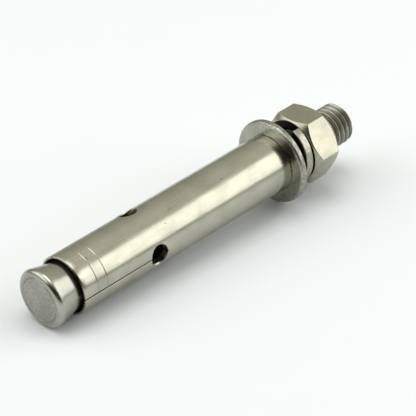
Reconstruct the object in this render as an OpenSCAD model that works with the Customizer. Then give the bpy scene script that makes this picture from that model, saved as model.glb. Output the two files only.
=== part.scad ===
// Sleeve anchor: a cone-headed bolt in a slit sleeve, with a flat washer, a spring washer and a nut.
// Millimetres. The anchor stands on the flat end of its head, with +Z along the bolt.

/* [Bolt] */
// Nominal diameter of the thread
thread_d = 10; // [8:0.1:10.5]
// Distance from one thread crest to the next
thread_pitch = 1.5; // [1:0.25:1.75]
// Thread that shows beyond the nut, up to the tip
stud_free = 9.3; // [3:0.1:40]
// Thread that runs on inside the sleeve, below the flat washer
thread_run = 12; // [5:1:32]

/* [Head] */
// How much narrower the head is than the sleeve, so that it enters the same drilled hole
head_under = 0.2; // [0:0.05:0.6]
// Radius of the head's rounded edge
head_edge_r = 1.1; // [0.3:0.1:1.6]
// Angle between the cone and the bolt's axis
cone_angle = 12; // [8:0.5:18]
// Radius of the fine ring turned into the head's end face
face_ring_r = 5.15; // [2:0.05:5.3]

/* [Sleeve] */
// Outer diameter of the sleeve
sleeve_d = 14; // [13.6:0.1:16]
// Thickness of the sleeve's wall
sleeve_wall = 1.5; // [1.2:0.05:1.7]
// Thickness left at the sleeve's lower end, where its bore flares
mouth_wall = 0.45; // [0.4:0.05:1.1]
// Height of the flare in the sleeve's bore
mouth_depth = 1.4; // [0.5:0.1:2.2]
// Length of the sleeve
sleeve_len = 63.8; // [50:0.1:120]
// Number of slits round the sleeve
slit_count = 3; // [2:1:4]
// Width of each slit
slit_w = 0.35; // [0.2:0.05:1]
// Distance from the sleeve's lower end to the centre of each drilled hole
slit_len = 21.8; // [16:0.1:30]
// Diameter of the hole drilled at the end of each slit
relief_d = 4.8; // [3:0.1:6]
// Height of the first scribed ring above the sleeve's lower end
ring_height = 3.9; // [2:0.1:6]
// Distance from the first scribed ring to the second
ring_pitch = 2.7; // [1:0.1:5]
// Width of the scribed rings, and of the ring on the head
ring_w = 0.2; // [0.1:0.05:0.6]
// Edge break at both ends of the sleeve
sleeve_break = 0.2; // [0.1:0.05:0.3]

/* [Flat washer] */
// Outer diameter of the flat washer
washer_d = 20.5; // [16.5:0.1:28]
// Thickness of the flat washer
washer_t = 1.6; // [1:0.1:3]
// How much wider the flat washer's hole is than the thread
washer_play = 0.5; // [0.3:0.05:1]
// Edge break of the flat washer's rim
washer_break = 0.2; // [0.05:0.05:0.4]

/* [Spring washer] */
// Width of the spring washer's wire, out from the bolt
spring_w = 2.6; // [1.8:0.1:3]
// Thickness of the spring washer's wire, along the bolt
spring_t = 2.1; // [1.4:0.1:2.6]
// How far the spring washer's wire climbs from its low cut end to its high one
spring_rise = 3.4; // [0.5:0.1:4]
// How much wider the spring washer's hole is than the thread
spring_play = 0.4; // [0.3:0.05:1]
// Angle of the split between the cut ends
split_angle = 5; // [2:1:12]
// Angle of the low cut end round the bolt, from +X
split_low_angle = 193; // [0:1:359]

/* [Nut] */
// Width of the nut across its flats
nut_af = 16; // [15:0.1:19]
// Height of the nut
nut_h = 7.6; // [5:0.1:10]
// How far the nut's flat end stays inside its flats
nut_face_inset = 0.35; // [0.1:0.05:0.8]
// Angle between the nut's end chamfer and its end face
nut_chamfer = 38; // [15:1:45]
// Angle of one corner of the nut round the bolt, from +X
nut_angle = -95; // [-180:1:180]

/* [Fits] */
// Radial gap between the cone and the sleeve that sits on it
cone_gap = 0.1; // [0.05:0.05:0.2]
// Gap between end faces that turn against each other
face_gap = 0.05; // [0.02:0.01:0.1]
// Radial gap between the nut's bore and the thread
thread_gap = 0.08; // [0.02:0.01:0.1]

/* [Hidden] */
$fn = 96;

steel_bright = "#c9c6b8";
steel_satin = "#b4b1a3";

// Cuts reach this far past the faces they open
cut_over = 1;
// The nut's end chamfers are cut this far past its corners
corner_over = 0.3;
// Depth of the scribed rings, as a share of their width
ring_share = 0.4;
ring_d = ring_share * ring_w;

// Shares of the pitch in a metric thread: its depth, and how far the pitch diameter is below the nominal one
depth_share = 0.6134;
pitch_d_share = 0.6495;

// A rolled thread, with the plain shank at its pitch diameter
thread_r = thread_d / 2;
thread_depth = depth_share * thread_pitch;
shank_r = thread_r - pitch_d_share * thread_pitch / 2;

// The thread's profile over one pitch, level at the crest and the root
// Each corner is a radius, and a height as a share of the pitch
level_share = 1 / 16;
thread_corners = [
    [thread_r, -level_share],
    [thread_r, level_share],
    [thread_r - thread_depth, 1 / 2 - level_share],
    [thread_r - thread_depth, 1 / 2 + level_share]
];
// Sections of the thread in one turn
thread_steps = 24;
// The shank runs this far up into the thread, and then tapers to a core inside it
run_out = 0.4;
core_share = 0.7;
core_r = core_share * thread_r;

// The head's rounded edge runs into the cone where both have the same slope
sleeve_r = sleeve_d / 2;
bore_r = sleeve_r - sleeve_wall;
head_r = sleeve_r - head_under / 2;
edge_centre_r = head_r - head_edge_r;
cone_r = edge_centre_r + head_edge_r * cos(cone_angle);
cone_z = head_edge_r + head_edge_r * sin(cone_angle);
cone_top_z = cone_z + (cone_r - shank_r) / tan(cone_angle);

// Stations of the pieces up the bolt, each seated on the one below
// The sleeve's bore meets the cone just above its flare
sleeve_z = cone_z + (cone_r - bore_r + cone_gap) / tan(cone_angle) - mouth_depth;
washer_z = sleeve_z + sleeve_len + face_gap;
spring_z = washer_z + washer_t + face_gap;
nut_z = spring_z + spring_t + spring_rise + face_gap;
tip_z = nut_z + nut_h + stud_free;
thread_z = washer_z - thread_run;
relief_z = sleeve_z + slit_len;

// The first slit faces the front, -Y
front = -90;
// Sections of wire in the spring washer's single turn
spring_steps = 90;

// A V-shaped groove round an upright wall: wall radius, height of the groove's middle
function wall_groove(r, z) = [[r, z - ring_w / 2], [r - ring_d, z], [r, z + ring_w / 2]];

module bolt_profile() {
    translate([edge_centre_r, head_edge_r])
        circle(r = head_edge_r);
    polygon([
        [0, 0],
        [face_ring_r - ring_w / 2, 0],
        [face_ring_r, ring_d],
        [face_ring_r + ring_w / 2, 0],
        [edge_centre_r, 0],
        [cone_r, cone_z],
        [shank_r, cone_top_z],
        [shank_r, thread_z + run_out],
        [core_r, thread_z + run_out + shank_r - core_r],
        [0, thread_z + run_out + shank_r - core_r]
    ]);
}

// A point of the right-hand thread: step s round the helix, corner k of its profile
function thread_point(s, k) =
    let (
        a = 360 * s / thread_steps,
        r = thread_corners[k][0],
        z = thread_pitch * (s / thread_steps + thread_corners[k][1])
    )
    [r * cos(a), r * sin(a), z];

// A long screw with full thread, from below the thread's start to beyond the tip
module endless_thread() {
    first = thread_steps * floor(thread_z / thread_pitch - 1);
    last = thread_steps * ceil(tip_z / thread_pitch + 1);
    count = last - first;
    corners = len(thread_corners);
    low_middle = corners * (count + 1);
    high_middle = low_middle + 1;
    top = count - thread_steps;
    low_loop = concat(
        [for (s = [0 : thread_steps]) corners * s],
        [for (k = [corners - 1 : -1 : 0]) k]
    );
    high_loop = concat(
        [for (s = [top : count]) corners * s + corners - 1],
        [for (k = [corners - 2 : -1 : 0]) corners * count + k],
        [corners * top + corners - 1]
    );
    polyhedron(
        points = concat(
            [for (s = [0 : count]) for (k = [0 : corners - 1]) thread_point(first + s, k)],
            [[0, 0, thread_point(first, 0)[2]], [0, 0, thread_point(last, 0)[2]]]
        ),
        faces = concat(
            [for (s = [0 : count - 1]) for (k = [0 : corners - 2]) each
                [[corners * s + k, corners * s + k + 1, corners * (s + 1) + k + 1],
                 [corners * s + k, corners * (s + 1) + k + 1, corners * (s + 1) + k]]],
            [for (s = [0 : top - 1]) each
                let (a = corners * s + corners - 1, b = corners * (s + thread_steps))
                [[a, b, b + corners], [a, b + corners, a + corners]]],
            [for (i = [0 : len(low_loop) - 2]) [low_middle, low_loop[i], low_loop[i + 1]]],
            [for (i = [0 : len(high_loop) - 2]) [high_middle, high_loop[i + 1], high_loop[i]]]
        )
    );
}

// The room that the thread is cut to: a flat start inside the sleeve, and a chamfered tip
module thread_room() {
    root_r = thread_r - thread_depth;
    rotate_extrude()
        polygon([
            [0, thread_z],
            [thread_r + cut_over, thread_z],
            [thread_r + cut_over, tip_z - thread_depth - cut_over],
            [root_r, tip_z],
            [0, tip_z]
        ]);
}

module bolt() {
    color(steel_satin) {
        rotate_extrude()
            bolt_profile();
        intersection() {
            endless_thread();
            thread_room();
        }
    }
}

module sleeve_profile() {
    polygon(concat(
        [
            [bore_r, sleeve_z + mouth_depth],
            [sleeve_r - mouth_wall, sleeve_z],
            [sleeve_r - sleeve_break, sleeve_z],
            [sleeve_r, sleeve_z + sleeve_break]
        ],
        wall_groove(sleeve_r, sleeve_z + ring_height),
        wall_groove(sleeve_r, sleeve_z + ring_height + ring_pitch),
        [
            [sleeve_r, sleeve_z + sleeve_len - sleeve_break],
            [sleeve_r - sleeve_break, sleeve_z + sleeve_len],
            [bore_r, sleeve_z + sleeve_len]
        ]
    ));
}

// One slit through the wall, from the sleeve's lower end to its drilled hole
module slit() {
    translate([0, -slit_w / 2, sleeve_z - cut_over])
        cube([sleeve_d, slit_w, slit_len + cut_over]);
    translate([0, 0, relief_z])
        rotate([0, 90, 0])
            cylinder(h = sleeve_d, d = relief_d);
}

module sleeve() {
    color(steel_bright)
        difference() {
            rotate_extrude()
                sleeve_profile();
            for (i = [0 : slit_count - 1])
                rotate(front + 360 * i / slit_count)
                    slit();
        }
}

module flat_washer() {
    inner_r = (thread_d + washer_play) / 2;
    outer_r = washer_d / 2;
    color(steel_satin)
        translate([0, 0, washer_z])
            rotate_extrude()
                polygon([
                    [inner_r, 0],
                    [outer_r - washer_break, 0],
                    [outer_r, washer_break],
                    [outer_r, washer_t - washer_break],
                    [outer_r - washer_break, washer_t],
                    [inner_r, washer_t]
                ]);
}

// The four corners of the wire at a share t of the way from the low cut end to the high one
function wire_corners(t) =
    let (
        a = split_low_angle - (360 - split_angle) * t,
        z = spring_rise * t,
        inner_r = (thread_d + spring_play) / 2,
        outer_r = inner_r + spring_w
    )
    [
        [inner_r * cos(a), inner_r * sin(a), z],
        [outer_r * cos(a), outer_r * sin(a), z],
        [outer_r * cos(a), outer_r * sin(a), z + spring_t],
        [inner_r * cos(a), inner_r * sin(a), z + spring_t]
    ];

// Two triangles of the wire's side k, between section i and the next
function wire_side(i, k) =
    let (
        a = 4 * i + k,
        b = 4 * i + (k + 1) % 4,
        c = 4 * (i + 1) + (k + 1) % 4,
        d = 4 * (i + 1) + k
    )
    [[a, b, c], [a, c, d]];

module spring_washer() {
    last = 4 * spring_steps;
    color(steel_bright)
        translate([0, 0, spring_z])
            polyhedron(
                points = [for (i = [0 : spring_steps]) each wire_corners(i / spring_steps)],
                faces = concat(
                    [[0, 2, 1], [0, 3, 2]],
                    [for (i = [0 : spring_steps - 1]) for (k = [0 : 3]) each wire_side(i, k)],
                    [[last, last + 1, last + 2], [last, last + 2, last + 3]]
                )
            );
}

module nut_envelope() {
    corner_r = nut_af / 2 / cos(30);
    face_r = nut_af / 2 - nut_face_inset;
    cut_r = corner_r + corner_over;
    drop = (cut_r - face_r) * tan(nut_chamfer);
    intersection() {
        rotate(nut_angle)
            cylinder(h = nut_h, r = corner_r, $fn = 6);
        rotate_extrude()
            polygon([
                [0, 0],
                [face_r, 0],
                [cut_r, drop],
                [cut_r, nut_h - drop],
                [face_r, nut_h],
                [0, nut_h]
            ]);
    }
}

// The bore with a countersink at each end, as deep as the thread
module nut_bore() {
    r = thread_r + thread_gap;
    mouth_r = r + thread_depth + cut_over;
    rotate_extrude()
        polygon([
            [0, -cut_over],
            [mouth_r, -cut_over],
            [r, thread_depth],
            [r, nut_h - thread_depth],
            [mouth_r, nut_h + cut_over],
            [0, nut_h + cut_over]
        ]);
}

module hex_nut() {
    color(steel_bright)
        translate([0, 0, nut_z])
            difference() {
                nut_envelope();
                nut_bore();
            }
}

bolt();
sleeve();
flat_washer();
spring_washer();
hex_nut();
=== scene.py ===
"""Sleeve anchor: dresses the packed frame with finished steel pieces, and sets the stage for its picture.

Every piece is a surface worked out with numpy, in metres, in the frame of the packed model: +Z runs
along the bolt from its head to the tip of its thread. Angles go round the bolt from +X.
"""

import math
from typing import NamedTuple

import bpy
import numpy as np
from bpy.props import FloatProperty, FloatVectorProperty, IntProperty, PointerProperty
from mathutils import Matrix, Vector


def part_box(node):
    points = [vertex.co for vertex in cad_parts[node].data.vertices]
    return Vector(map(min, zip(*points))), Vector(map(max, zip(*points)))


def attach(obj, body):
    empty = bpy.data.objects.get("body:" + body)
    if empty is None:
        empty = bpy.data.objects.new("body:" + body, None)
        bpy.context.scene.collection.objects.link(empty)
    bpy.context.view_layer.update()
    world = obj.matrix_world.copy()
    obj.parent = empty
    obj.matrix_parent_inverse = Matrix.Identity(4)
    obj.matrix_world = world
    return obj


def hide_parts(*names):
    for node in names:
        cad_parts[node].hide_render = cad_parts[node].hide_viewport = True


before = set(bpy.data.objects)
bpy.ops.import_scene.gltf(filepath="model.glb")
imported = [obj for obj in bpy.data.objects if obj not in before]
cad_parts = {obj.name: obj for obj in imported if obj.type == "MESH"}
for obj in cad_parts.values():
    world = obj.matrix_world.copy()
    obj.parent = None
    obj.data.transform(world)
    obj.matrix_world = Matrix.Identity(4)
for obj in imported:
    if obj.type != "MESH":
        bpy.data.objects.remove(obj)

bl_info = {
    "name": "Sleeve Anchor",
    "version": (1, 0, 0),
    "blender": (4, 5, 0),
    "location": "View3D > Sidebar > Sleeve Anchor",
    "description": "Builds the steel pieces of a sleeve anchor around its packed frame",
    "category": "Add Mesh",
}

# Metres in a millimetre
MM = 0.001

# Edges that turn by more than this stay sharp
SHARP_ANGLE = math.radians(35)
# Steps in a rounded edge
ROUND_STEPS = 4
# Distance from a rounded corner, in setbacks, of the point that keeps the flat next to it flat
HOLD_SETBACKS = 1.6
# Points nearer than this are one point
MERGE_DISTANCE = 1e-6

# Shares of the pitch on each side of a thread's crest and root that stay level
CREST_SHARE = 1 / 20
ROOT_SHARE = 1 / 16
# Rows of points in one pitch of thread
THREAD_ROWS = 20
# Pitches over which the thread runs in from the shank
RUN_IN_PITCHES = 2
# Radius of the last ring of points on the tip, as a share of the tip's radius
TIP_FACE_SHARE = 0.93

# Rows of points on the head's end face, as shares of the radius of its ring
FACE_ROWS = (0.10, 0.40, 0.75)
# Rows of points along the head's rounded edge, the cone, the sleeve's end edges, its wall and its holes
HEAD_EDGE_STEPS = 18
CONE_STEPS = 8
EDGE_BREAK_STEPS = 5
WALL_STEPS = 8
HOLE_STEPS = 25
# Rows of points across a scribed ring, in half-widths from its middle, which alone is sunk
RING_ROWS = np.array([-1.5, -1, 0, 1, 1.5])
# Width of the broken edges of the sleeve's holes and slits, as a share of their depth
EDGE_SLOPE = 0.7
# Slit widths over which a slit's broken edge grows to that of its hole
EDGE_GROWTH = 3

# Flats of the nut
NUT_SIDES = 6
# Columns of points near a corner of the nut, as shares of the angle from it to where its rounding ends
CORNER_COLUMNS = np.array([-1.7, -1, -0.5, 0, 0.5, 1, 1.7])
# Columns of points on half a flat of the nut, as shares of the angle from the corner to the flat's middle
FLAT_COLUMNS = np.array([0.15, 0.27, 0.43, 0.6, 0.8])
# Rows of points on the nut's lower face
NUT_FACE_ROWS = 2

# How dark shade is painted into the scribed rings, the head's fine ring and the roots of the stud's thread,
# from 0 to 1
RING_PAINTED_SHADE = 0.35
GROOVE_PAINTED_SHADE = 0.55
# Share of the spring washer's turn, from its low end, over which the shade painted there fades out
SPRING_SHADE = 0.12
# How rough cut the head's end face, the flat washer's rim and the spring washer's wire are, from 0 to 1
FACE_MATT = 0.45
RIM_MATT = 0.8
WIRE_MATT = 0.4
# The same for the inner edge of the sleeve's drilled holes, which is torn and goes past 1
HOLE_MATT = 3.0

# Finer layers in the noise of the tool marks, and how much each adds
MARK_DETAIL = 3.0
MARK_LAYERS = 0.6
# Finer layers in the noise of the patches, the mottle and the specks
PATCH_DETAIL = 4.0
MOTTLE_DETAIL = 2.0
SPECK_DETAIL = 1.0
# Levels of noise over which specks set in, patches go from pale to dull, pits set in, and marks go from
# glossy to dull
SPECK_RANGE = (0.74, 0.80)
PATCH_RANGE = (0.3, 0.7)
PIT_RANGE = (0.42, 0.62)
MARK_RANGE = (0.3, 0.7)
# Middle level of noise
NOISE_MIDDLE = 0.5
# Pale patches, dull patches and pits, as shares of the steel's colour
PALE_SHARE = 1.08
DULL_SHARE = 0.84
PIT_SHARE = 0.4
# How strongly a speck shows
SPECK_AMOUNT = 0.6
# What marks take from the roughness and add to it, and what patches, rough cut and the places with painted
# shade add
MARK_GLOSS = 0.05
MARK_DULL = 0.06
PATCH_ROUGH = 0.12
CUT_ROUGH = 0.12
SHADE_ROUGH = 0.25
# Height of the mottle beside the marks on smooth steel, and what rough cut adds to it
MOTTLE_RELIEF = 0.5
CUT_RELIEF = 6.0
BUMP_STRENGTH = 0.35

# Numbers of a Mix node's inputs and output for colours
MIX_AMOUNT = 0
MIX_FIRST = 6
MIX_SECOND = 7
MIX_RESULT = 2

# Gloss of the floor's paper
FLOOR_ROUGHNESS = 0.9
FLOOR_SPECULAR = 0.1
# Share of the way up at which the sky is brightest
SKY_TOP = 0.9
# Share of the way backwards over which the room gets dark
BACK_RANGE = (0.25, 0.65)
# The camera's sensor in millimetres, and the nearest and farthest that it sees in metres
SENSOR_WIDTH = 36.0
CLIP_START = 0.01
CLIP_END = 10.0

# Boxes of the packed nodes: lowest and highest corner
BOLT_LOW, BOLT_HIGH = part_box("bolt")
SLEEVE_LOW, SLEEVE_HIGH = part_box("sleeve")
WASHER_LOW, WASHER_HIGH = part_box("flat_washer")
SPRING_LOW, SPRING_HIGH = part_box("spring_washer")
NUT_LOW, NUT_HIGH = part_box("hex_nut")


class Lamp(NamedTuple):
    """A flat lamp that faces the anchor. Its place is an angle from straight ahead to the right along the
    floor, an angle up from it and a distance. Angles are in degrees and lengths in metres."""

    name: str
    round_angle: float
    rise_angle: float
    distance: float
    width: float
    tall: float
    radiance: float


LAMPS = (
    Lamp("right_window", round_angle=86, rise_angle=28.5, distance=0.7, width=0.66, tall=0.58, radiance=1.8),
    Lamp("left_window", round_angle=-95, rise_angle=34, distance=0.9, width=1.0, tall=0.65, radiance=1.5),
    Lamp("overhead", round_angle=-45, rise_angle=84, distance=0.9, width=0.58, tall=0.58, radiance=2.5),
)


class FloorAxes(NamedTuple):
    """Directions of the floor, and its height along up"""

    up: Vector
    right: Vector
    forward: Vector
    level: float


def length(name, description, default):
    """A property that holds a length in metres."""
    return FloatProperty(
        name=name,
        description=description,
        default=default,
        min=0.0,
        precision=5,
        subtype="DISTANCE",
        unit="LENGTH",
    )


def turn(name, description, degrees):
    """A property that holds an angle, given in degrees and kept in radians."""
    return FloatProperty(
        name=name, description=description, default=math.radians(degrees), subtype="ANGLE", unit="ROTATION"
    )


def share(name, description, default):
    """A property that holds a share from 0 to 1."""
    return FloatProperty(
        name=name, description=description, default=default, min=0.0, max=1.0, subtype="FACTOR"
    )


def colour(name, description, default):
    """A property that holds a linear colour."""
    return FloatVectorProperty(
        name=name, description=description, default=default, size=3, min=0.0, max=1.0, subtype="COLOR"
    )


def count(name, description, default, low, high):
    """A property that holds a whole number."""
    return IntProperty(name=name, description=description, default=default, min=low, max=high)


class AnchorBolt(bpy.types.PropertyGroup):
    """Sizes of the bolt"""

    thread_radius: length("Thread radius", "Radius over the thread's crests", 5.0 * MM)
    thread_depth: length("Thread depth", "Depth of the thread's grooves", 0.92 * MM)
    thread_pitch: length("Thread pitch", "Distance from one crest to the next", 1.5 * MM)
    thread_start: length("Thread start", "Height at which the thread is full", 58.722 * MM)
    shank_radius: length("Shank radius", "Radius of the plain shank", 4.513 * MM)
    edge_radius: length("Edge radius", "Radius of the head's rounded edge", 1.1 * MM)
    cone_angle: turn("Cone angle", "Angle between the cone and the bolt's axis", 12.0)
    ring_radius: length("Ring radius", "Radius of the fine ring in the head's end face", 5.15 * MM)
    ring_width: length("Ring width", "Width of the fine ring", 0.2 * MM)
    ring_depth: length("Ring depth", "Depth of the fine ring", 0.08 * MM)
    columns: count("Columns", "Points round the bolt", 144, low=24, high=256)


class AnchorSleeve(bpy.types.PropertyGroup):
    """Sizes of the sleeve"""

    wall: length("Wall", "Thickness of the sleeve's wall", 1.5 * MM)
    mouth_wall: length("Mouth wall", "Thickness left at the lower end, where the bore flares", 0.6 * MM)
    mouth_depth: length("Mouth depth", "Height of the flare in the bore", 1.4 * MM)
    edge_break: length("Edge break", "Rounding of both ends of the sleeve", 0.2 * MM)
    slit_width: length("Slit width", "Width of each slit", 0.35 * MM)
    slit_length: length("Slit length", "Distance from the lower end to each drilled hole's centre", 21.8 * MM)
    hole_radius: length("Hole radius", "Radius of the hole drilled at the end of each slit", 2.4 * MM)
    hole_edge: length("Hole edge", "Depth of the broken edge round each drilled hole", 0.26 * MM)
    slit_edge: length("Slit edge", "Depth of the broken edges along each slit", 0.05 * MM)
    ring_height: length("Ring height", "Height of the first scribed ring above the lower end", 3.9 * MM)
    ring_pitch: length("Ring pitch", "Distance between the scribed rings", 2.7 * MM)
    ring_width: length("Ring width", "Width of the scribed rings", 0.2 * MM)
    ring_depth: length("Ring depth", "Depth of the scribed rings", 0.04 * MM)
    slit_count: count("Slits", "Number of slits", 3, low=2, high=4)
    first_slit: turn("First slit", "Angle of the first slit round the bolt", -90.0)
    columns: count("Columns", "Points in half of one finger", 24, low=6, high=64)


class AnchorWashers(bpy.types.PropertyGroup):
    """Sizes of the flat washer and the spring washer"""

    flat_hole: length("Flat hole", "Radius of the flat washer's hole", 5.25 * MM)
    flat_edge: length("Flat edge", "Rounding of the upper edge of the flat washer's rim", 0.15 * MM)
    rolled_edge: length("Rolled edge", "Rounding of the lower edge of the flat washer's rim", 0.75 * MM)
    spring_width: length("Spring width", "Width of the wire, out from the bolt", 2.6 * MM)
    spring_thickness: length("Spring thickness", "Thickness of the wire, along the bolt", 2.1 * MM)
    spring_edge: length("Spring edge", "Rounding of the wire's corners", 0.28 * MM)
    low_end: turn("Low end", "Angle of the spring washer's low cut end", 193.0)
    split: turn("Split", "Angle of the split between the cut ends", 5.0)
    columns: count("Columns", "Points round each washer", 128, low=24, high=256)


class AnchorNut(bpy.types.PropertyGroup):
    """Sizes of the nut"""

    flats: length("Across flats", "Width of the nut across its flats", 16.0 * MM)
    face_radius: length("Face radius", "Radius of the flat ring on the nut's ends", 7.65 * MM)
    chamfer: turn("Chamfer", "Angle between the end chamfer and the end face", 38.0)
    corner_round: length("Corner rounding", "Radius of the nut's upright corners", 0.4 * MM)
    edge_round: length("Edge rounding", "Rounding of the edges of the chamfers", 0.12 * MM)
    corner_angle: turn("Corner angle", "Angle of one corner round the bolt", -95.0)
    thread_gap: length("Thread gap", "Radial gap between the nut's thread and the bolt's", 0.08 * MM)


class AnchorFinish(bpy.types.PropertyGroup):
    """Colours and gloss of the steels"""

    turned: colour("Turned steel", "Colour of the bolt", (0.41, 0.405, 0.345))
    drawn: colour("Drawn steel", "Colour of the sleeve", (0.46, 0.446, 0.366))
    stamped: colour("Stamped steel", "Colour of the flat washer", (0.42, 0.415, 0.36))
    coiled: colour("Coiled steel", "Colour of the spring washer", (0.42, 0.405, 0.335))
    nut: colour("Nut steel", "Colour of the nut", (0.44, 0.422, 0.335))
    # Near-black colour painted as shade into grooves, bores and gaps between pieces, and used for the dark
    # specks of dirt
    dirt_and_shade: colour("Grime", "Colour of the oil film in grooves and bores", (0.036, 0.033, 0.026))
    turned_rough: share("Turned roughness", "Roughness of the bolt", 0.25)
    drawn_rough: share("Drawn roughness", "Roughness of the sleeve", 0.22)
    stamped_rough: share("Stamped roughness", "Roughness of the flat washer", 0.24)
    coiled_rough: share("Coiled roughness", "Roughness of the spring washer", 0.28)
    nut_rough: share("Nut roughness", "Roughness of the nut", 0.26)


class AnchorStage(bpy.types.PropertyGroup):
    """Floor, sky and camera"""

    camera_place: FloatVectorProperty(
        name="Camera place",
        description="Where the camera stands",
        default=(-0.26385, -0.25428, -0.20615),
        subtype="TRANSLATION",
        unit="LENGTH",
    )
    camera_target: FloatVectorProperty(
        name="Camera target",
        description="Point in the middle of the picture",
        default=(-0.00034, -0.00257, 0.04790),
        subtype="TRANSLATION",
        unit="LENGTH",
    )
    lens: FloatProperty(name="Lens", description="Focal length in mm", default=172.2, min=1.0)
    lie_angle: turn("Lie angle", "Angle round the bolt of the side that lies on the floor", -2.565)
    floor_colour: colour("Floor", "Colour of the floor round the anchor", (0.84, 0.87, 0.9))
    # Painted falloff of light: between the two reaches the floor's colour darkens from the pale one to this
    # far one
    floor_far_shade: colour("Far floor", "Colour of the floor far from the anchor", (0.36, 0.37, 0.37))
    near_reach: length("Near reach", "Distance from the anchor at which the floor starts to darken", 0.14)
    far_reach: length("Far reach", "Distance from the anchor at which the floor is darkest", 0.40)
    floor_size: length("Floor size", "Side of the square floor", 3.0)
    sky_low: colour("Low sky", "Light from the horizon", (0.325, 0.325, 0.28))
    sky_high: colour("High sky", "Light from overhead", (0.76, 0.76, 0.675))
    sky_back: colour("Back of the room", "Light from behind the camera", (0.015, 0.015, 0.015))


def grid_quads(rows, columns, wrap_rows, wrap_columns):
    """Quads of a grid of points stored row by row. With the columns going round anticlockwise seen from
    above and the rows going up, each quad runs along its row first and then up, so that it faces
    outwards."""
    row = np.arange(rows if wrap_rows else rows - 1)[:, None]
    column = np.arange(columns if wrap_columns else columns - 1)[None, :]
    next_row = (row + 1) % rows
    next_column = (column + 1) % columns
    quads = np.stack(
        [
            row * columns + column,
            row * columns + next_column,
            next_row * columns + next_column,
            next_row * columns + column,
        ],
        axis=-1,
    )
    return quads.reshape(-1, 4)


def ring_points(radius, angle, height):
    """Points at a radius, an angle and a height about the bolt's axis, as rows of x, y, z. The three
    arrays are spread to one shape first."""
    radius, angle, height = np.broadcast_arrays(radius, angle, height)
    return np.stack([radius * np.cos(angle), radius * np.sin(angle), height], axis=-1).reshape(-1, 3)


def round_corners(corners, setbacks):
    """Rounds the corners of a profile. corners is (n, 2, columns): radius and height of each corner at
    each angle. A corner with a setback becomes a parabola from that far before it to that far after it,
    with one more point on each side that keeps the flat next to it flat. The first and last corner
    stay."""
    rows = [corners[0]]
    for i in range(1, len(corners) - 1):
        here = corners[i]
        if setbacks[i] == 0:
            rows.append(here)
            continue
        before = corners[i - 1] - here
        after = corners[i + 1] - here
        before = before / np.linalg.norm(before, axis=0)
        after = after / np.linalg.norm(after, axis=0)
        hold = HOLD_SETBACKS * setbacks[i]
        rows.append(here + hold * before)
        for t in np.linspace(0, 1, ROUND_STEPS + 1):
            rows.append(here + setbacks[i] * ((1 - t) ** 2 * before + t**2 * after))
        rows.append(here + hold * after)
    rows.append(corners[-1])
    return np.array(rows)


def thread_profile(angle, height, bolt):
    """Radius of the bolt's right-hand thread. The distance to the nearest crest, as a share of the pitch,
    runs from 0 at a crest to 0.5 at a root. The radius is level near both and falls on a straight line
    between."""
    turns = height / bolt.thread_pitch - angle / math.tau
    from_crest = np.abs(turns - np.round(turns))
    fall = np.clip((from_crest - CREST_SHARE) / (0.5 - CREST_SHARE - ROOT_SHARE), 0, 1)
    return bolt.thread_radius - bolt.thread_depth * fall


def put_piece(name, points, face_sets, recess, matt=None, smooth_points=None):
    """Makes a mesh object from points in metres and arrays of faces. Two masks hold a value for each point:
    the first is 1 where shade is painted near-black into the colour, and the second 1 where the steel is
    rough cut. smooth_points is a mask of points between which no edge is kept sharp."""
    corners = np.concatenate([faces.ravel() for faces in face_sets]).astype(np.int32)
    sizes = np.concatenate([np.full(len(faces), faces.shape[1]) for faces in face_sets])
    starts = np.concatenate([[0], np.cumsum(sizes)[:-1]]).astype(np.int32)
    mesh = bpy.data.meshes.new(name)
    mesh.vertices.add(len(points))
    mesh.vertices.foreach_set("co", np.ascontiguousarray(points, dtype=np.float32).ravel())
    mesh.loops.add(len(corners))
    mesh.loops.foreach_set("vertex_index", corners)
    mesh.polygons.add(len(starts))
    mesh.polygons.foreach_set("loop_start", starts)
    mesh.update(calc_edges=True)
    if mesh.validate():
        raise RuntimeError(f"the mesh of {name} has faces that are not valid")
    mesh.polygons.foreach_set("use_smooth", np.ones(len(starts), dtype=bool))
    mesh.set_sharp_from_angle(angle=SHARP_ANGLE)
    if smooth_points is not None:
        soften_edges(mesh, smooth_points)
    if matt is None:
        matt = np.zeros(len(points))
    for key, values in (("recess", recess), ("matt", matt)):
        attribute = mesh.attributes.new(key, "FLOAT", "POINT")
        attribute.data.foreach_set("value", np.ascontiguousarray(values, dtype=np.float32).ravel())
    piece = bpy.data.objects.new(name, mesh)
    bpy.context.collection.objects.link(piece)
    return piece


def soften_edges(mesh, smooth_points):
    """Takes the sharp mark off every edge whose two points are both in the mask."""
    ends = np.empty(len(mesh.edges) * 2, dtype=np.int32)
    mesh.edges.foreach_get("vertices", ends)
    sharp = np.empty(len(mesh.edges), dtype=bool)
    mesh.edges.foreach_get("use_edge_sharp", sharp)
    inside = smooth_points[ends].reshape(-1, 2).all(axis=1)
    mesh.edges.foreach_set("use_edge_sharp", sharp & ~inside)


def merge_points(points, face_sets):
    """Joins points that lie at one place: places are rounded to the merging distance and equal ones share
    an index. Gives the index of each point that is kept, and the faces on the kept points."""
    places = np.round(points / MERGE_DISTANCE).astype(np.int64)
    first, index = np.unique(places, axis=0, return_index=True, return_inverse=True)[1:]
    index = index.ravel()
    return first, [index[faces] for faces in face_sets]


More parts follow.
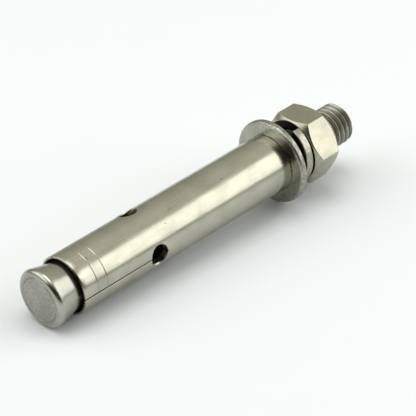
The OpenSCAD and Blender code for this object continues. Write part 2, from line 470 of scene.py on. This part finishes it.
def build_bolt(bolt):
    """The bolt: a profile turned about Z from the middle of the head's end face, over the fine ring, the
    rounded edge, the cone and the shank, and then the thread, whose radius changes with angle and height.
    At the tip a 45 degree chamfer limits the radius."""
    angle = np.linspace(0, math.tau, bolt.columns, endpoint=False)
    head_radius = BOLT_HIGH.x
    tip = BOLT_HIGH.z
    edge_centre = head_radius - bolt.edge_radius
    half_ring = bolt.ring_width / 2
    ring = [
        [bolt.ring_radius - half_ring, 0],
        [bolt.ring_radius, bolt.ring_depth],
        [bolt.ring_radius + half_ring, 0],
    ]
    ring_row = len(FACE_ROWS) + 1
    inside = [[part * bolt.ring_radius, 0] for part in FACE_ROWS]
    face = np.array(inside + ring + [[edge_centre - half_ring, 0]])
    sweep = np.linspace(-math.pi / 2, bolt.cone_angle, HEAD_EDGE_STEPS)
    edge = np.stack(
        [edge_centre + bolt.edge_radius * np.cos(sweep), bolt.edge_radius * (1 + np.sin(sweep))], axis=1
    )
    cone_top = edge[-1, 1] + (edge[-1, 0] - bolt.shank_radius) / math.tan(bolt.cone_angle)
    along = np.linspace(0, 1, CONE_STEPS)[1:, None]
    cone = edge[-1] + along * (np.array([bolt.shank_radius, cone_top]) - edge[-1])
    plain = np.concatenate([face, edge, cone])

    thread_low = bolt.thread_start - (bolt.thread_radius - bolt.shank_radius)
    thread_rows = math.ceil((tip - thread_low) / bolt.thread_pitch * THREAD_ROWS) + 1
    height = np.linspace(thread_low, tip, thread_rows)[:, None]
    run_in = np.clip((height - thread_low) / (RUN_IN_PITCHES * bolt.thread_pitch), 0, 1)
    thread = bolt.shank_radius + run_in * (thread_profile(angle, height, bolt) - bolt.shank_radius)
    tip_radius = bolt.thread_radius - bolt.thread_depth
    chamfer = tip_radius + (tip - height)
    groove = np.where(thread > chamfer, 0, (bolt.thread_radius - thread) / bolt.thread_depth)
    thread = np.minimum(thread, chamfer)

    radius = np.concatenate([np.repeat(plain[:, :1], bolt.columns, axis=1), thread])
    radius = np.concatenate([radius, np.full((1, bolt.columns), TIP_FACE_SHARE * tip_radius)])
    heights = np.concatenate([plain[:, 1:], height, [[tip]]])
    rows = len(radius)
    low_pole = rows * bolt.columns
    points = np.concatenate([ring_points(radius, angle, heights), [[0, 0, 0], [0, 0, tip]]])

    here = np.arange(bolt.columns)
    after = (here + 1) % bolt.columns
    last = (rows - 1) * bolt.columns
    low_fan = np.stack([np.full(bolt.columns, low_pole), after, here], axis=1)
    high_fan = np.stack([last + here, last + after, np.full(bolt.columns, low_pole + 1)], axis=1)

    # Painted shade: the cone and shank inside the sleeve, the thread's roots, the thread inside and below the
    # nut, and the head's fine ring are painted dark
    recess = np.zeros((rows, bolt.columns))
    recess[: len(plain)][plain[:, 1] > SLEEVE_LOW.z] = 1
    nut_shade = ((NUT_HIGH.z - height) / (NUT_HIGH.z - NUT_LOW.z)).clip(0, 1)
    recess[len(plain) : len(plain) + thread_rows] = np.maximum(GROOVE_PAINTED_SHADE * groove, nut_shade)
    recess[ring_row] = RING_PAINTED_SHADE
    matt = np.zeros((rows, bolt.columns))
    matt[: len(face)] = FACE_MATT
    in_thread = np.zeros((rows, bolt.columns), dtype=bool)
    in_thread[len(plain) : len(plain) + thread_rows - 1] = True
    return put_piece(
        "anchor_bolt",
        points,
        [grid_quads(rows, bolt.columns, False, True), low_fan, high_fan],
        np.concatenate([recess.ravel(), [0, 0]]),
        np.concatenate([matt.ravel(), [FACE_MATT, 0]]),
        np.concatenate([in_thread.ravel(), [False, False]]),
    )


def build_sleeve(sleeve):
    """The sleeve, in as many mirrored pairs of patches as it has slits. A patch is a grid: its rows go up
    the outer wall and down the bore, and its columns go from the opening's edge to the middle of a
    finger. The opening is the slit's half-width up to the drilled hole, then the hole's half-chord, then
    nothing. On the outer wall the first column is sunk, which breaks the opening's edge. A strip of quads
    closes the wall along the opening."""
    outer = SLEEVE_HIGH.x
    bore = outer - sleeve.wall
    low = SLEEVE_LOW.z
    high = SLEEVE_HIGH.z
    hole_middle = low + sleeve.slit_length
    half_slit = sleeve.slit_width / 2

    quarter = np.linspace(0, math.pi / 2, EDGE_BREAK_STEPS)
    edge_radius = outer - sleeve.edge_break * (1 - np.sin(quarter))
    edge_rise = sleeve.edge_break * (1 - np.cos(quarter))
    groove_rise = sleeve.ring_width / 2 * RING_ROWS
    groove_radius = outer - sleeve.ring_depth * (RING_ROWS == 0)
    first_ring = low + sleeve.ring_height
    join_angle = math.pi - math.asin(half_slit / sleeve.hole_radius)
    round_hole = np.linspace(join_angle, 0, HOLE_STEPS)
    join = hole_middle + sleeve.hole_radius * math.cos(join_angle)
    hole_top = hole_middle + sleeve.hole_radius
    slit_wall = np.linspace(first_ring + 2 * sleeve.ring_pitch, join, WALL_STEPS)[:-1]

    def wall_rows(height, radius, half_opening):
        """Rows of height, radius and half-width of the opening."""
        return np.stack(np.broadcast_arrays(height, radius, half_opening), axis=1)

    up = np.concatenate(
        [
            wall_rows(low + edge_rise, edge_radius, half_slit),
            wall_rows(low + sleeve.mouth_depth, [outer], half_slit),
            wall_rows(first_ring + groove_rise, groove_radius, half_slit),
            wall_rows(first_ring + sleeve.ring_pitch + groove_rise, groove_radius, half_slit),
            wall_rows(slit_wall, outer, half_slit),
            wall_rows(
                hole_middle + sleeve.hole_radius * np.cos(round_hole),
                outer,
                sleeve.hole_radius * np.sin(round_hole).clip(0),
            ),
            wall_rows(hole_top + sleeve.hole_edge, [outer], 0),
            wall_rows(np.linspace(hole_top, high - sleeve.edge_break, 2 * WALL_STEPS)[1:-1], outer, 0),
            wall_rows(high - edge_rise[::-1], edge_radius[::-1], 0),
        ]
    )
    rows = len(up)
    down = up[::-1].copy()
    flare = np.clip(1 - (down[:, 0] - low) / sleeve.mouth_depth, 0, 1)
    down[:, 1] = bore + flare * (sleeve.wall - sleeve.mouth_wall)
    loop = np.concatenate([up, down])
    height, radius, half_opening = loop[:, :, None].transpose(1, 0, 2)
    opening = np.arcsin(half_opening / radius)
    across = np.concatenate([[0], np.linspace(0, 1, sleeve.columns + 1)])
    first = np.arange(len(across)) == 0
    widened = np.clip(half_opening / half_slit - 1, 0, EDGE_GROWTH) / EDGE_GROWTH
    grown = np.where(height < hole_middle, widened, 1)
    edge = sleeve.slit_edge + grown * (sleeve.hole_edge - sleeve.slit_edge)
    sunk = np.where(height < hole_top + MERGE_DISTANCE, edge, 0)
    sunk[rows:] = 0
    lip = edge * EDGE_SLOPE / radius
    half_finger = math.pi / sleeve.slit_count
    from_slit = opening + np.where(first, 0, lip) + across * (half_finger - opening - lip)
    radius = np.where(first, radius - sunk, radius)

    slit = sleeve.first_slit + math.tau * np.arange(sleeve.slit_count) / sleeve.slit_count
    middle = np.repeat(slit, 2)[:, None, None]
    side = np.tile([1.0, -1.0], sleeve.slit_count)[:, None, None]
    points = ring_points(radius, middle + side * from_slit, height)

    columns = len(across)
    quads = grid_quads(2 * rows, columns, True, False)
    open_rows = np.flatnonzero(up[:, 2] > 0)
    outside = open_rows * columns
    outside_up = (open_rows + 1) * columns
    inside = (2 * rows - 1 - open_rows) * columns
    inside_up = (2 * rows - 2 - open_rows) * columns
    wall = np.stack([outside, outside_up, inside_up, inside], axis=1)
    patch = np.concatenate([quads, wall])
    start = 2 * rows * columns * np.arange(2 * sleeve.slit_count)[:, None, None]
    faces = np.where(side > 0, patch + start, patch[:, ::-1] + start).reshape(-1, 4)

    # Painted shade: the scribed rings and the whole bore are painted dark, but not the inner edges of the
    # drilled holes' walls
    recess = np.zeros((2 * rows, columns))
    recess[loop[:, 1] == outer - sleeve.ring_depth] = RING_PAINTED_SHADE
    recess[rows:] = 1
    recess[rows:][down[:, 2] > half_slit, 0] = 0
    matt = np.zeros((2 * rows, columns))
    matt[rows:][down[:, 2] > half_slit, 0] = HOLE_MATT
    kept, face_sets = merge_points(points, [faces])
    recess = np.tile(recess.ravel(), 2 * sleeve.slit_count)[kept]
    matt = np.tile(matt.ravel(), 2 * sleeve.slit_count)[kept]
    return put_piece("anchor_sleeve", points[kept], face_sets, recess, matt)


def build_flat_washer(washers):
    """The flat washer: a rectangle with rounded corners, turned about Z. Its rows start in the middle of
    the hole's wall and go round the section."""
    angle = np.linspace(0, math.tau, washers.columns, endpoint=False)
    low = WASHER_LOW.z
    high = WASHER_HIGH.z
    outer = WASHER_HIGH.x
    hole = washers.flat_hole
    start = [hole, (low + high) / 2]
    corners = np.array([start, [hole, low], [outer, low], [outer, high], [hole, high], start])
    hole_edge = washers.flat_edge / 2
    section = round_corners(
        corners[:, :, None], [0, hole_edge, washers.rolled_edge, washers.flat_edge, hole_edge, 0]
    )[:-1]
    points = ring_points(section[:, 0], angle, section[:, 1])
    # Painted shade: the hole's wall round the bolt is painted dark
    recess = np.repeat(section[:, 0] < hole + hole_edge / 2, washers.columns)
    matt = RIM_MATT * np.repeat(section[:, 0] > outer - washers.rolled_edge / 2, washers.columns)
    quads = grid_quads(len(section), washers.columns, True, True)
    return put_piece("anchor_flat_washer", points, [quads], recess, matt)


def build_spring_washer(washers):
    """The spring washer: a rectangle with rounded corners, carried along one left-hand turn of a helix
    from the low cut end to the high one, and closed by a face at each cut."""
    outer = SPRING_HIGH.y
    inner = outer - washers.spring_width
    thick = washers.spring_thickness
    rise = SPRING_HIGH.z - SPRING_LOW.z - thick
    start = [inner, thick / 2]
    corners = np.array([start, [inner, 0], [outer, 0], [outer, thick], [inner, thick], start])
    edge = washers.spring_edge
    section = round_corners(corners[:, :, None], [0, edge, edge, edge, edge, 0])[:-1]
    along = np.linspace(0, 1, washers.columns + 1)
    angle = washers.low_end - (math.tau - washers.split) * along
    points = ring_points(section[:, 0], angle, SPRING_LOW.z + rise * along + section[:, 1])
    columns = washers.columns + 1
    quads = grid_quads(len(section), columns, True, False)[:, ::-1]
    low_cut = np.arange(len(section))[::-1][None, :] * columns
    high_cut = np.arange(len(section))[None, :] * columns + washers.columns
    # Painted shade: all but the wire's outer wall is painted dark, and near the low cut end the whole wire,
    # fading out along the turn
    recess = np.maximum(section[:, 0] < outer - edge, 1 - along / SPRING_SHADE)
    matt = np.full(len(points), WIRE_MATT)
    return put_piece("anchor_spring_washer", points, [quads, low_cut, high_cut], recess.clip(0, 1), matt)


def build_nut(nut, bolt):
    """The nut: at each angle a closed profile goes along the lower face, over the chamfer to the
    hexagon's radius, up the flat, over the upper chamfer and face, and down the threaded bore. The
    hexagon's radius is half the width over the cosine of the angle from the flat's middle, and a small
    circle at the rounded corners."""
    half_side = math.pi / NUT_SIDES
    half_flats = nut.flats / 2
    round_centre = (half_flats - nut.corner_round) / math.cos(half_side)
    touch = math.atan2(
        nut.corner_round * math.sin(half_side), round_centre + nut.corner_round * math.cos(half_side)
    )
    corner = touch * CORNER_COLUMNS
    flat = half_side * FLAT_COLUMNS
    offset = np.concatenate([[-half_side], -flat[::-1], corner, flat])
    angle = (nut.corner_angle + 2 * half_side * np.arange(NUT_SIDES)[:, None] + offset).ravel()
    offset = np.tile(np.abs(offset), NUT_SIDES)
    rounded = round_centre * np.cos(offset) + np.sqrt(
        np.maximum(nut.corner_round**2 - (round_centre * np.sin(offset)) ** 2, 0)
    )
    hexagon = np.where(offset < touch, rounded, half_flats / np.cos(half_side - offset))

    low = NUT_LOW.z
    high = NUT_HIGH.z
    drop = (hexagon - nut.face_radius) * math.tan(nut.chamfer)
    mouth = bolt.thread_radius + nut.thread_gap + bolt.thread_depth
    level = np.ones_like(hexagon)
    corners = np.array(
        [
            [mouth * level, low * level],
            [nut.face_radius * level, low * level],
            [hexagon, low + drop],
            [hexagon, high - drop],
            [nut.face_radius * level, high * level],
            [mouth * level, high * level],
        ]
    )
    shell = round_corners(corners, [0] + 4 * [nut.edge_round] + [0])
    bore_rows = math.ceil((high - low) / bolt.thread_pitch * THREAD_ROWS)
    height = np.linspace(high, low, bore_rows)[1:-1, None]
    countersink = mouth - np.minimum(height - low, high - height)
    bore = np.maximum(thread_profile(angle, height, bolt) + nut.thread_gap, countersink)

    radius = np.concatenate([shell[:, 0], bore])
    heights = np.concatenate([shell[:, 1], np.repeat(height, len(angle), axis=1)])
    in_bore = np.zeros(radius.shape, dtype=bool)
    in_bore[len(shell) + 1 : -1] = True
    # Painted shade: the threaded bore and the lower face against the spring washer are painted dark
    recess = in_bore.astype(float)
    recess[:NUT_FACE_ROWS] = 1
    return put_piece(
        "anchor_nut",
        ring_points(radius, angle, heights),
        [grid_quads(len(radius), len(angle), True, True)],
        recess.ravel(),
        smooth_points=in_bore.ravel(),
    )


def finish_piece(piece, body, node, material):
    """Lets a piece ride on its body in place of its node, with its slot's material."""
    piece.data.materials.append(material)
    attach(piece, body)
    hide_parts(node)


def add_node(tree, kind, links=(), **settings):
    """Adds a node, sets its own settings, and fills its inputs: each link is an input and a socket or a
    value."""
    node = tree.nodes.new(kind)
    for key, value in settings.items():
        setattr(node, key, value)
    for key, source in links:
        if isinstance(source, bpy.types.NodeSocket):
            tree.links.new(source, node.inputs[key])
        else:
            node.inputs[key].default_value = source
    return node


def maths(tree, operation, *values):
    """A Math node on sockets or values, and its output."""
    return add_node(tree, "ShaderNodeMath", enumerate(values), operation=operation).outputs[0]


def measure(tree, operation, *vectors):
    """A Vector Math node that gives a number, on sockets or vectors, and its output."""
    return add_node(tree, "ShaderNodeVectorMath", enumerate(vectors), operation=operation).outputs["Value"]


def ramp(tree, value, low, high, to_low=0.0, to_high=1.0, **settings):
    """A Map Range node from low and high to two other levels, level beyond them, and its output."""
    links = [("Value", value), ("From Min", low), ("From Max", high)]
    links += [("To Min", to_low), ("To Max", to_high)]
    return add_node(tree, "ShaderNodeMapRange", links, **settings).outputs["Result"]


def noise(tree, place, scale, detail, layers=0.5):
    """A Noise Texture node with finer layers, each at a share of the one before, and its output."""
    links = [("Vector", place), ("Scale", scale), ("Detail", detail), ("Roughness", layers)]
    return add_node(tree, "ShaderNodeTexNoise", links).outputs["Fac"]


def mix_colours(tree, amount, first, second):
    """A Mix node for colours, and its output. The amount and the colours are sockets or values."""
    links = [(MIX_AMOUNT, amount), (MIX_FIRST, first), (MIX_SECOND, second)]
    return add_node(tree, "ShaderNodeMix", links, data_type="RGBA").outputs[MIX_RESULT]


def shaded(base, level=1.0):
    """A colour for a node: a share of another colour, with no part over 1."""
    return (*(min(1.0, level * part) for part in base), 1.0)


def shared_group(name, fill, numbers, outputs):
    """A shader node group that is made once. It takes a vector and some numbers with their first values,
    and fill makes the nodes and gives the socket for each output."""
    if name in bpy.data.node_groups:
        return bpy.data.node_groups[name]
    tree = bpy.data.node_groups.new(name, "ShaderNodeTree")
    tree.interface.new_socket("Vector", in_out="INPUT", socket_type="NodeSocketVector")
    for key, default in numbers.items():
        made = tree.interface.new_socket(key, in_out="INPUT", socket_type="NodeSocketFloat")
        made.default_value = default
    for key in outputs:
        tree.interface.new_socket(key, in_out="OUTPUT", socket_type="NodeSocketFloat")
    given = tree.nodes.new("NodeGroupInput")
    result = tree.nodes.new("NodeGroupOutput")
    for key, socket in fill(tree, given.outputs).items():
        tree.links.new(socket, result.inputs[key])
    return tree


def fill_lathe_marks(tree, given):
    """Fine lines round the axis, as a lathe leaves them: noise that runs fast with radius plus height and
    slowly along the circle."""
    apart = add_node(tree, "ShaderNodeSeparateXYZ", [("Vector", given["Vector"])]).outputs
    level = add_node(tree, "ShaderNodeCombineXYZ", [("X", apart["X"]), ("Y", apart["Y"])]).outputs[0]
    along = maths(tree, "ADD", measure(tree, "LENGTH", level), apart["Z"])
    lines = maths(tree, "MULTIPLY", along, given["Lines"])
    side = maths(tree, "MULTIPLY", apart["X"], given["Wander"])
    front = maths(tree, "MULTIPLY", apart["Y"], given["Wander"])
    place = add_node(tree, "ShaderNodeCombineXYZ", [("X", side), ("Y", front), ("Z", lines)]).outputs[0]
    return {"Marks": noise(tree, place, 1.0, MARK_DETAIL, MARK_LAYERS)}


def fill_drawn_marks(tree, given):
    """Fine lines along the axis, as drawing through a die leaves them: noise that runs fast across the
    axis and slowly along it."""
    links = [("X", given["Lines"]), ("Y", given["Lines"]), ("Z", given["Wander"])]
    scale = add_node(tree, "ShaderNodeCombineXYZ", links).outputs[0]
    links = [(0, given["Vector"]), (1, scale)]
    place = add_node(tree, "ShaderNodeVectorMath", links, operation="MULTIPLY").outputs[0]
    return {"Marks": noise(tree, place, 1.0, MARK_DETAIL, MARK_LAYERS)}


def fill_handling(tree, given):
    """Traces of handling, from noise of three sizes: soft cloudy patches, a fine mottle and a few small
    dark specks."""
    place = given["Vector"]
    grains = noise(tree, place, given["Speck Scale"], SPECK_DETAIL)
    return {
        "Patches": noise(tree, place, given["Patch Scale"], PATCH_DETAIL),
        "Mottle": noise(tree, place, given["Mottle Scale"], MOTTLE_DETAIL),
        "Specks": ramp(tree, grains, *SPECK_RANGE),
    }


def lathe_marks_group():
    """The group of the marks round the axis, with its lines and their wander per metre."""
    return shared_group("lathe_marks", fill_lathe_marks, {"Lines": 5000.0, "Wander": 120.0}, ["Marks"])


def drawn_marks_group():
    """The group of the marks along the axis, with its lines and their wander per metre."""
    return shared_group("drawn_marks", fill_drawn_marks, {"Lines": 4000.0, "Wander": 150.0}, ["Marks"])


def handling_group():
    """The group of the traces of handling, with the number of each per metre."""
    scales = {"Patch Scale": 160.0, "Mottle Scale": 1800.0, "Speck Scale": 900.0}
    return shared_group("handling", fill_handling, scales, ["Patches", "Mottle", "Specks"])


def steel_material(name, steel, roughness, marks_group, lines, wander, depth):
    """Bare steel: its colour pales and darkens in soft patches, with dark specks of dirt, and shade painted
    near-black into grooves, bores and gaps between pieces where the painted shade mask is set. Its roughness
    and its bump follow the fine marks of the way it was made. Rough cut parts are darker, duller and more
    grainy."""
    material = bpy.data.materials.new(name)
    material.use_nodes = True
    tree = material.node_tree
    shader = tree.nodes["Principled BSDF"]
    shader.inputs["Metallic"].default_value = 1.0
    place = tree.nodes.new("ShaderNodeTexCoord").outputs["Object"]
    links = [("Vector", place), ("Lines", lines), ("Wander", wander)]
    marks = add_node(tree, "ShaderNodeGroup", links, node_tree=marks_group).outputs["Marks"]
    traces = add_node(tree, "ShaderNodeGroup", [("Vector", place)], node_tree=handling_group()).outputs
    # Mask of painted shade: where it is set, the colour is mixed towards near-black and the roughness goes up
    recess = add_node(tree, "ShaderNodeAttribute", attribute_name="recess").outputs["Fac"]
    matt = add_node(tree, "ShaderNodeAttribute", attribute_name="matt").outputs["Fac"]

    tone = ramp(tree, traces["Patches"], *PATCH_RANGE)
    smooth = mix_colours(tree, tone, shaded(steel, PALE_SHARE), shaded(steel, DULL_SHARE))
    pits = ramp(tree, traces["Mottle"], *PIT_RANGE)
    pitted = maths(tree, "MULTIPLY", maths(tree, "MINIMUM", matt, 1.0), pits)
    clouded = mix_colours(tree, pitted, smooth, shaded(steel, PIT_SHARE))
    # Near-black colour: painted shade where the mask is set, and dark dirt in the specks
    dirt_and_shade = shaded(bpy.context.scene.anchor_finish.dirt_and_shade)
    with_painted_shade = mix_colours(tree, recess, clouded, dirt_and_shade)
    speck = maths(tree, "MULTIPLY", traces["Specks"], SPECK_AMOUNT)
    tree.links.new(mix_colours(tree, speck, with_painted_shade, dirt_and_shade), shader.inputs["Base Color"])

    lined = ramp(tree, marks, *MARK_RANGE, roughness - MARK_GLOSS, roughness + MARK_DULL)
    cloud = maths(tree, "SUBTRACT", traces["Patches"], NOISE_MIDDLE)
    gloss = maths(tree, "MULTIPLY_ADD", cloud, PATCH_ROUGH, lined)
    rougher = maths(tree, "MULTIPLY_ADD", matt, CUT_ROUGH, gloss)
    shade_roughened = maths(tree, "MULTIPLY_ADD", recess, SHADE_ROUGH, rougher)
    tree.links.new(shade_roughened, shader.inputs["Roughness"])

    grain = maths(tree, "MULTIPLY_ADD", matt, CUT_RELIEF, MOTTLE_RELIEF)
    relief = maths(tree, "MULTIPLY_ADD", traces["Mottle"], grain, marks)
    links = [("Height", relief), ("Strength", BUMP_STRENGTH), ("Distance", depth)]
    bump = add_node(tree, "ShaderNodeBump", links).outputs["Normal"]
    tree.links.new(bump, shader.inputs["Normal"])
    return material


def anchor_middle():
    """The point half way up the anchor."""
    return Vector((0, 0, (BOLT_LOW.z + BOLT_HIGH.z) / 2))


def floor_axes(stage):
    """The floor's up, right and forward directions, and its height along up. The anchor lies on the edge
    of its head and the rim of its flat washer, on the side at the lie angle, so the floor leans to touch
    both."""
    head_height = bpy.context.scene.anchor_bolt.edge_radius
    head_radius = BOLT_HIGH.x
    lean = math.atan2(WASHER_HIGH.x - head_radius, WASHER_LOW.z - head_height)
    outwards = Vector((math.cos(stage.lie_angle), math.sin(stage.lie_angle), 0))
    up = Vector((0, 0, math.sin(lean))) - math.cos(lean) * outwards
    level = (head_radius * outwards + Vector((0, 0, head_height))).dot(up)
    ahead = Vector(stage.camera_target) - Vector(stage.camera_place)
    right = ahead.cross(up).normalized()
    return FloorAxes(up, right, up.cross(right), level)


def build_floor(stage):
    """A square floor, pale round the anchor, with shade painted into its colour that darkens it far away.
    Seen from behind it lets the view through, so that it never hides the anchor."""
    axes = floor_axes(stage)
    middle = anchor_middle()
    middle += (axes.level - middle.dot(axes.up)) * axes.up
    half = stage.floor_size / 2
    mesh = bpy.data.meshes.new("floor")
    signs = ((-1, -1), (1, -1), (1, 1), (-1, 1))
    points = [middle + half * (x * axes.right + y * axes.forward) for x, y in signs]
    mesh.from_pydata(points, [], [(0, 1, 2, 3)])
    floor = bpy.data.objects.new("floor", mesh)
    bpy.context.collection.objects.link(floor)

    material = bpy.data.materials.new("floor_with_painted_pool")
    material.use_nodes = True
    tree = material.node_tree
    shader = tree.nodes["Principled BSDF"]
    place = tree.nodes.new("ShaderNodeTexCoord").outputs["Object"]
    # Painted pool of light: the floor's colour is pale near the anchor and painted darker far from it
    away = measure(tree, "DISTANCE", place, middle)
    far = ramp(tree, away, stage.near_reach, stage.far_reach, interpolation_type="SMOOTHSTEP")
    paper = mix_colours(tree, far, shaded(stage.floor_colour), shaded(stage.floor_far_shade))
    tree.links.new(paper, shader.inputs["Base Color"])
    shader.inputs["Roughness"].default_value = FLOOR_ROUGHNESS
    shader.inputs["Specular IOR Level"].default_value = FLOOR_SPECULAR
    behind = tree.nodes.new("ShaderNodeNewGeometry").outputs["Backfacing"]
    through = tree.nodes.new("ShaderNodeBsdfTransparent").outputs[0]
    links = [(0, behind), (1, shader.outputs[0]), (2, through)]
    mixed = add_node(tree, "ShaderNodeMixShader", links).outputs[0]
    tree.links.new(mixed, tree.nodes["Material Output"].inputs["Surface"])
    mesh.materials.append(material)


def add_lamp(stage, lamp):
    """Makes a flat soft lamp that faces the anchor's middle. Its power is radiance times pi times its
    area."""
    axes = floor_axes(stage)
    round_angle = math.radians(lamp.round_angle)
    rise_angle = math.radians(lamp.rise_angle)
    level_way = math.cos(round_angle) * axes.forward + math.sin(round_angle) * axes.right
    way = math.cos(rise_angle) * level_way + math.sin(rise_angle) * axes.up
    light = bpy.data.lights.new(lamp.name, "AREA")
    light.shape = "RECTANGLE"
    light.size = lamp.width
    light.size_y = lamp.tall
    light.energy = lamp.radiance * math.pi * lamp.width * lamp.tall
    made = bpy.data.objects.new(lamp.name, light)
    bpy.context.collection.objects.link(made)
    sideways = axes.up.cross(way).normalized()
    turned = Matrix((sideways, way.cross(sideways), way)).transposed().to_4x4()
    made.matrix_world = Matrix.Translation(anchor_middle() + lamp.distance * way) @ turned


def build_world(stage):
    """Soft light from all round, dim at the floor's horizon, brighter overhead, and nearly dark behind
    the camera."""
    axes = floor_axes(stage)
    world = bpy.data.worlds.new("studio")
    world.use_nodes = True
    tree = world.node_tree
    way = tree.nodes.new("ShaderNodeTexCoord").outputs["Generated"]
    high = ramp(tree, measure(tree, "DOT_PRODUCT", way, axes.up), 0.0, SKY_TOP)
    sky = mix_colours(tree, high, shaded(stage.sky_low), shaded(stage.sky_high))
    dark = ramp(tree, measure(tree, "DOT_PRODUCT", way, -axes.forward), *BACK_RANGE)
    room = mix_colours(tree, dark, sky, shaded(stage.sky_back))
    tree.links.new(room, tree.nodes["Background"].inputs["Color"])
    bpy.context.scene.world = world


def build_camera(stage):
    """A camera at the photograph's place, level with the floor."""
    up = floor_axes(stage).up
    place = Vector(stage.camera_place)
    ahead = (Vector(stage.camera_target) - place).normalized()
    right = ahead.cross(up).normalized()
    camera = bpy.data.cameras.new("camera")
    camera.sensor_width = SENSOR_WIDTH
    camera.lens = stage.lens
    camera.clip_start = CLIP_START
    camera.clip_end = CLIP_END
    made = bpy.data.objects.new("camera", camera)
    bpy.context.collection.objects.link(made)
    turned = Matrix((right, right.cross(ahead), -ahead)).transposed().to_4x4()
    made.matrix_world = Matrix.Translation(place) @ turned
    bpy.context.scene.camera = made


class ANCHOR_OT_bolt(bpy.types.Operator):
    """Build the bolt with its cone head and threaded stud"""

    bl_idname = "anchor.bolt"
    bl_label = "Bolt"

    def execute(self, context):
        finish = context.scene.anchor_finish
        piece = build_bolt(context.scene.anchor_bolt)
        material = steel_material(
            "turned_steel", finish.turned, finish.turned_rough, lathe_marks_group(),
            lines=5000, wander=120, depth=0.01 * MM,
        )
        finish_piece(piece, "bolt", "bolt", material)
        return {"FINISHED"}


class ANCHOR_OT_sleeve(bpy.types.Operator):
    """Build the slit sleeve"""

    bl_idname = "anchor.sleeve"
    bl_label = "Sleeve"

    def execute(self, context):
        finish = context.scene.anchor_finish
        piece = build_sleeve(context.scene.anchor_sleeve)
        material = steel_material(
            "drawn_steel", finish.drawn, finish.drawn_rough, drawn_marks_group(),
            lines=4000, wander=150, depth=0.009 * MM,
        )
        finish_piece(piece, "sleeve", "sleeve", material)
        return {"FINISHED"}


class ANCHOR_OT_washers(bpy.types.Operator):
    """Build the flat washer and the spring washer"""

    bl_idname = "anchor.washers"
    bl_label = "Washers"

    def execute(self, context):
        finish = context.scene.anchor_finish
        washers = context.scene.anchor_washers
        stamped = steel_material(
            "stamped_steel", finish.stamped, finish.stamped_rough, lathe_marks_group(),
            lines=2500, wander=700, depth=0.012 * MM,
        )
        finish_piece(build_flat_washer(washers), "flat_washer", "flat_washer", stamped)
        coiled = steel_material(
            "coiled_steel", finish.coiled, finish.coiled_rough, lathe_marks_group(),
            lines=4000, wander=200, depth=0.01 * MM,
        )
        finish_piece(build_spring_washer(washers), "spring_washer", "spring_washer", coiled)
        return {"FINISHED"}


class ANCHOR_OT_nut(bpy.types.Operator):
    """Build the hexagon nut"""

    bl_idname = "anchor.nut"
    bl_label = "Nut"

    def execute(self, context):
        finish = context.scene.anchor_finish
        piece = build_nut(context.scene.anchor_nut, context.scene.anchor_bolt)
        material = steel_material(
            "nut_steel", finish.nut, finish.nut_rough, drawn_marks_group(),
            lines=3000, wander=500, depth=0.01 * MM,
        )
        finish_piece(piece, "nut", "hex_nut", material)
        return {"FINISHED"}


class ANCHOR_OT_stage(bpy.types.Operator):
    """Set the floor, the lamps, the sky and the camera"""

    bl_idname = "anchor.stage"
    bl_label = "Stage"

    def execute(self, context):
        stage = context.scene.anchor_stage
        build_floor(stage)
        for lamp in LAMPS:
            add_lamp(stage, lamp)
        build_world(stage)
        build_camera(stage)
        context.scene.view_settings.view_transform = "Standard"
        return {"FINISHED"}


class ANCHOR_PT_sidebar(bpy.types.Panel):
    """The anchor's pieces and settings"""

    bl_idname = "ANCHOR_PT_sidebar"
    bl_label = "Sleeve Anchor"
    bl_space_type = "VIEW_3D"
    bl_region_type = "UI"
    bl_category = "Sleeve Anchor"

    def draw(self, context):
        for operator in OPERATORS:
            self.layout.operator(operator.bl_idname)
        for name, group in SETTINGS.items():
            box = self.layout.box()
            box.label(text=group.__doc__)
            for key in group.__annotations__:
                box.prop(getattr(context.scene, name), key)


SETTINGS = {
    "anchor_bolt": AnchorBolt,
    "anchor_sleeve": AnchorSleeve,
    "anchor_washers": AnchorWashers,
    "anchor_nut": AnchorNut,
    "anchor_finish": AnchorFinish,
    "anchor_stage": AnchorStage,
}
OPERATORS = (ANCHOR_OT_bolt, ANCHOR_OT_sleeve, ANCHOR_OT_washers, ANCHOR_OT_nut, ANCHOR_OT_stage)


def register():
    """Registers the settings, the operators and the panel."""
    for name, group in SETTINGS.items():
        bpy.utils.register_class(group)
        setattr(bpy.types.Scene, name, PointerProperty(type=group))
    for operator in OPERATORS:
        bpy.utils.register_class(operator)
    bpy.utils.register_class(ANCHOR_PT_sidebar)


def unregister():
    """Takes back what register made."""
    bpy.utils.unregister_class(ANCHOR_PT_sidebar)
    for operator in reversed(OPERATORS):
        bpy.utils.unregister_class(operator)
    for name, group in reversed(SETTINGS.items()):
        delattr(bpy.types.Scene, name)
        bpy.utils.unregister_class(group)


def main():
    """Builds every piece and the stage."""
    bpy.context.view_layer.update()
    register()
    bpy.ops.anchor.bolt()
    bpy.ops.anchor.sleeve()
    bpy.ops.anchor.washers()
    bpy.ops.anchor.nut()
    bpy.ops.anchor.stage()


if __name__ == "__main__":
    main()
